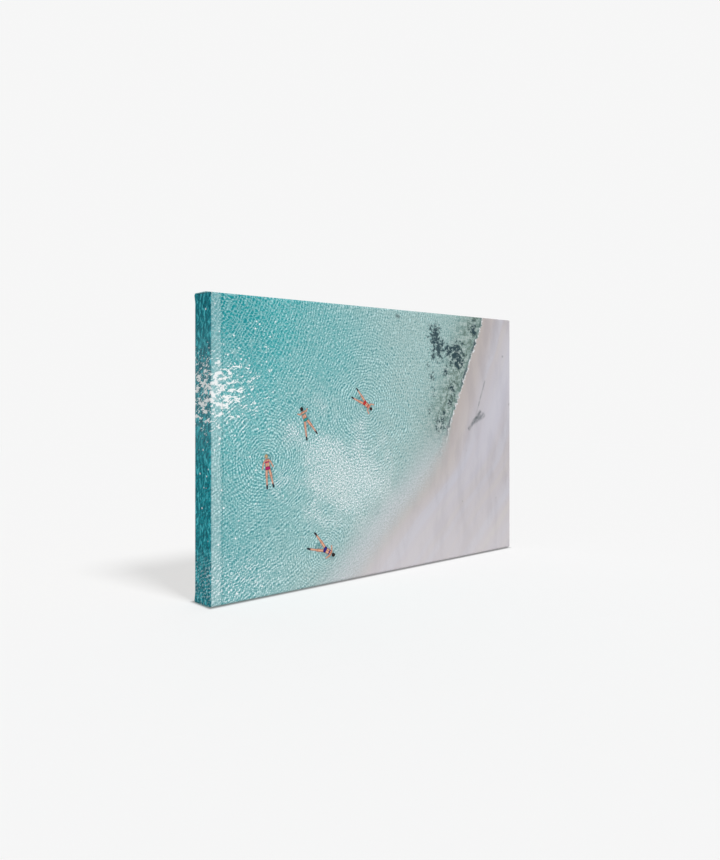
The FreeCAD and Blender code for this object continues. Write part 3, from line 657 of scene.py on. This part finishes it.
def corner_line(station, plain_x, near_x, plain_z, near_z):
    """One line of the cloth at one station, from the middle of the top edge round a corner to the
    middle of the side: the top flap, its fold, the tucked ear in two layers, and the side flap.
    Gives (place, flat place)."""
    out, back, normal_out, normal_back, run = station
    rim_x, rim_z = HALF_WIDTH - EDGE, HALF_HEIGHT - EDGE
    outermost = EDGE + CLOTH / 2
    shown = smooth(out / outermost) if back < EDGE else 1.0
    ear = min(EAR, max(0.0, back - EDGE) * EAR / (DEPTH - EDGE - BACK_BEND))
    on_back = max(0.0, back - DEPTH + BACK_BEND) > 0 and normal_out < 0.5
    lift = smooth(ear / (6 * MM))
    layer = CLOTH * lift
    tight = CORNER_ROUND * shown
    inward = max(0.0, outermost - out) if on_back else 0.0
    edge_x = rim_x + (outermost if on_back else out) - 0.12 * inward - 0.25 * CLOTH * shown
    points = []

    def put(x, height, flat_x, flat_z, z=None):
        level = rim_z + out + height * normal_out if z is None else z
        points.append((Vector((x, back + height * normal_back, level)), (flat_x, flat_z)))

    def height_at(x):
        return 2 * layer * smooth((x - (edge_x - ear - 2.2 * MM)) / (3.2 * MM))

    for x in plain_x:
        put(x, 0.0, x, rim_z + run)
    start = rim_x - CORNER_REACH
    for share in near_x:
        x = edge_x - share * (edge_x - start)
        put(x, height_at(x), rim_x - share * CORNER_REACH, rim_z + run)
    bulge = CLOTH / 2 * lift
    for index in range(5):
        angle = math.pi * index / 4
        put(edge_x + bulge * math.sin(angle), 1.5 * layer + layer / 2 * math.cos(angle),
            rim_x + 0.1 * run * index / 4, rim_z + run)
    crease = edge_x - ear
    for share in (0.15, 0.4, 0.65, 0.9):
        put(edge_x - share * ear, layer, rim_x + share * run, rim_z + run)
    for index in range(5):
        angle = math.pi * index / 4
        height = layer / 2 + layer / 2 * math.cos(angle)
        put(crease - bulge * math.sin(angle), height, rim_x + run, rim_z + run)
    end = rim_x + out - tight
    for share in (0.1, 0.4, 0.7, 1.0):
        put(crease + share * (end - crease), 0.0, rim_x + run, rim_z + run * (1 - 0.9 * share))
    for index in range(1, 5):
        angle = math.radians(90 * index / 4)
        put(end + tight * math.sin(angle), 0.0, rim_x + run, rim_z + run * 0.1 * (1 - index / 4),
            rim_z + out - tight + tight * math.cos(angle))
    top = rim_z + out - tight
    low = rim_z - CORNER_REACH
    for share in reversed(near_z):
        put(rim_x + out, 0.0, rim_x + run, rim_z - share * CORNER_REACH, top - share * (top - low))
    for z in reversed(plain_z):
        put(rim_x + out, 0.0, rim_x + run, z, z)
    return points


def cloth_shape(place):
    """How the cloth's middle surface departs from the plain wrapped form, at a place on it."""
    x, y, z = place
    wide, high = x / HALF_WIDTH, z / HALF_HEIGHT
    push = Vector((0.0, 0.0, 0.0))
    flat_front = smooth((EDGE - y) / EDGE)
    if flat_front > 0 and abs(wide) < 0.995 and abs(high) < 0.995:
        sag = SAG * (1 - wide ** 4) * (1 - high ** 4)
        near_corner = smooth((abs(wide) + abs(high) - 1.15) / 0.5)
        pull = PULL * math.sin(46 * (abs(wide) - abs(high))) * near_corner
        from_left = x + HALF_WIDTH
        line = LIP_LINE * math.exp(-((from_left - LIP) / (0.55 * MM)) ** 2)
        push.y += flat_front * (sag + pull * (1 - wide ** 8) * (1 - high ** 8) + line)
    on_side = smooth(y / (3 * MM)) * smooth((DEPTH - y) / (1.5 * MM))
    if abs(wide) > 1:
        push.x += math.copysign(SIDE_BOW * on_side * (1 - min(1, abs(high)) ** 6), x)
    if abs(high) > 1 and abs(wide) < 0.85:
        push.z += math.copysign(TOP_BOW * on_side, z)
    return push


def build_canvas():
    """The whole cloth as one sheet: front panel, wrapped sides, folded corners and turned-over edge."""
    rim_x, rim_z = HALF_WIDTH - EDGE, HALF_HEIGHT - EDGE
    plain_x, near_x = run_places(rim_x)
    plain_z, near_z = run_places(rim_z)
    mesh = bmesh.new()
    flat_layer = mesh.verts.layers.float_vector.new("flat")

    def add_sheet(rows, sign_x, sign_z):
        grid = []
        for row in rows:
            line = []
            for place, flat in row:
                vertex = mesh.verts.new((sign_x * place.x, place.y, sign_z * place.z))
                flat_x = (sign_x * flat[0] + HALF_WIDTH) / MM
                flat_z = (sign_z * flat[1] + HALF_HEIGHT) / MM
                vertex[flat_layer] = (flat_x, flat_z, 0.0)
                line.append(vertex)
            grid.append(line)
        for upper, lower in zip(grid, grid[1:]):
            for a, b, c, d in zip(upper, upper[1:], lower[1:], lower):
                corners = (a, b, c, d) if sign_x * sign_z > 0 else (d, c, b, a)
                mesh.faces.new(corners)

    belt = [corner_line(station, plain_x, near_x, plain_z, near_z) for station in wrap_stations()]
    across = plain_x + [rim_x - share * CORNER_REACH for share in near_x] + [rim_x]
    up = plain_z + [rim_z - share * CORNER_REACH for share in near_z] + [rim_z]
    front = -CLOTH / 2
    panel = [[(Vector((x, front, z)), (x, z)) for x in across] for z in up]
    for sign_x in (-1, 1):
        for sign_z in (-1, 1):
            add_sheet(belt, sign_x, sign_z)
            add_sheet(panel, sign_x, sign_z)
    bmesh.ops.remove_doubles(mesh, verts=mesh.verts, dist=0.004 * MM)
    bmesh.ops.dissolve_degenerate(mesh, edges=mesh.edges, dist=0.002 * MM)
    bmesh.ops.recalc_face_normals(mesh, faces=mesh.faces)
    for vertex in mesh.verts:
        vertex.co += cloth_shape(vertex.co)
        vertex.co += Vector((0.0, WOOD_FRONT, MIDDLE))
    data = bpy.data.meshes.new("canvas_sheet")
    mesh.to_mesh(data)
    mesh.free()
    for polygon in data.polygons:
        polygon.use_smooth = True
    canvas = bpy.data.objects.new("canvas_sheet", data)
    bpy.context.scene.collection.objects.link(canvas)
    data.materials.append(print_material())
    data.materials.append(cotton_material())
    shell = canvas.modifiers.new("thickness", "SOLIDIFY")
    shell.thickness = SHELL
    shell.offset = 0.0
    shell.material_offset = 1
    shell.material_offset_rim = 1
    return canvas


# ------------------------------------------------------------------ materials on the CAD nodes


def dress(node, material):
    """Give a CAD node its material."""
    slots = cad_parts[node].data.materials
    slots.clear()
    slots.append(material)


def dress_nodes():
    """Wood with its grain along each piece, and a metal of its own for each kind of fitting."""
    pine = paint(228, 200, 156), paint(194, 150, 102)
    key_wood = paint(234, 212, 172), paint(206, 168, 116)
    for number, side in enumerate(("bottom", "right", "top", "left")):
        along = "Z" if number % 2 else "X"
        dress(f"stretcher_bar_{side}", wood_material(f"pine_{side}", *pine, along, 3.1 * number))
    for number, corner in enumerate(("bottom_left", "bottom_right", "top_right", "top_left")):
        for kind in ("back", "front"):
            upright = (kind == "front") == (number % 2 == 0)
            along = "Z" if upright else "X"
            name = f"corner_key_{corner}_{kind}"
            dress(name, wood_material(f"wood_{name}", *key_wood, along, 7.3 * number + 1))
    staple = metal_material("galvanised_wire", paint(172, 172, 176), 0.28, 0.10)
    for side in ("bottom", "top", "right", "left", "corners"):
        dress(f"staples_{side}", staple)
    strap = metal_material("zinc_plate", paint(160, 162, 168), 0.30, 0.12)
    ring = metal_material("nickel_wire", paint(176, 172, 164), 0.14, 0.05)
    screw = metal_material("zinc_screw", paint(150, 152, 160), 0.24, 0.08)
    for side in ("left", "right"):
        dress(f"hanger_strap_{side}", strap)
        dress(f"hanger_ring_{side}", ring)
        dress(f"hanger_screw_{side}", screw)


# ------------------------------------------------------------------ stage, lights and camera


def build_stage():
    """A pale floor of the same tone as the background, a soft key from the front, a weak fill from
    behind, and a dim sky.  The floor glows a little.  Under the object and just around it, that glow
    is turned down as a painted contact shadow."""
    tone = 0.925          # how bright the floor and the background look
    sky_light = 0.30      # how bright the sky is as a light
    albedo = 0.40         # the floor's reflected share of light, which sets how dark shadows are
    contact = 3.2 * MM    # how far the painted contact shadow reaches from the object, where the floor's glow is back in full
    near_floor, far_floor = 0.6, 1.6    # where the lit floor fades into the plain background
    suns = [              # each one's name, direction, power and width in degrees
        ("key", Vector((0.02, -0.68, 1.0)).normalized(), 0.66, 14),
        ("fill", Vector((0.6, 1.0, 0.9)).normalized(), 0.12, 70),
    ]

    mesh = bmesh.new()
    bmesh.ops.create_circle(mesh, cap_ends=True, segments=96, radius=6.0)
    data = bpy.data.meshes.new("floor")
    mesh.to_mesh(data)
    mesh.free()
    floor = bpy.data.objects.new("floor", data)
    bpy.context.scene.collection.objects.link(floor)
    g = Graph("pale_floor")
    place = g.place()
    speckle = g.noise(place, 60.0, 2)
    paper = g.add("BsdfDiffuse")
    low, high = albedo * 0.995, albedo * 1.005
    g.put(g.mix(speckle, (low, low, low, 1), (high, high, high, 1)), paper.inputs["Color"])
    reflected = albedo * (sky_light + sum(power * source.z for name, source, power, angle in suns))
    # Painted contact shadow: the floor's glow drops to 0.3 under the object and comes back within a few
    # millimetres.
    outside = g.vector("SUBTRACT", g.vector("ABSOLUTE", place), FOOTPRINT)
    x, y = g.split(g.vector("MAXIMUM", outside, (0, 0, 0)))
    glow_past_painted_shadow = g.step(g.vector("LENGTH", g.join(x, y)), 0.0, contact, 0.30, 1.0)
    glow = g.add("Emission")
    level = tone - reflected
    g.put(g.mix(glow_past_painted_shadow, (0, 0, 0, 1), (level, level, level, 1)), glow.inputs["Color"])
    near = g.add("AddShader")
    g.tree.links.new(paper.outputs[0], near.inputs[0])
    g.tree.links.new(glow.outputs[0], near.inputs[1])
    far = g.add("Emission")
    far.inputs["Color"].default_value = (tone, tone, tone, 1)
    blend = g.add("MixShader")
    g.put(g.step(g.vector("LENGTH", place), near_floor, far_floor), blend.inputs[0])
    g.tree.links.new(near.outputs[0], blend.inputs[1])
    g.tree.links.new(far.outputs[0], blend.inputs[2])
    g.tree.links.new(blend.outputs[0], g.add("OutputMaterial").inputs["Surface"])
    data.materials.append(g.material)

    for name, source, power, angle in suns:
        sun = bpy.data.lights.new(name, "SUN")
        sun.energy = power * math.pi
        sun.angle = math.radians(angle)
        lamp = bpy.data.objects.new(name, sun)
        lamp.rotation_euler = (-source).to_track_quat("-Z", "Y").to_euler()
        bpy.context.scene.collection.objects.link(lamp)

    world = bpy.data.worlds.new("studio")
    bpy.context.scene.world = world
    world.use_nodes = True
    w = Graph("studio", world.node_tree)
    sky = world.node_tree.nodes["Background"]
    lit_only = w.add("LightPath").outputs["Is Diffuse Ray"]
    seen, light = (tone, tone, tone, 1), (sky_light, sky_light, sky_light, 1)
    w.put(w.mix(lit_only, seen, light), sky.inputs["Color"])
    bpy.context.scene.view_settings.view_transform = "Standard"


def build_camera():
    """A level camera at the height of two thirds of the canvas, in front and to its left."""
    place = (-0.4016, -0.4479, 0.137)
    turn = -40.8
    data = bpy.data.cameras.new("camera")
    data.lens = 32.6
    data.sensor_width = 36.0
    data.shift_y = -0.0428
    data.clip_start = 0.01
    camera = bpy.data.objects.new("camera", data)
    camera.location = place
    camera.rotation_euler = (math.radians(90), 0.0, math.radians(turn))
    bpy.context.scene.collection.objects.link(camera)
    bpy.context.scene.camera = camera


build_camera()
build_stage()

canvas = build_canvas()
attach(canvas, "frame")
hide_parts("canvas")
dress_nodes()
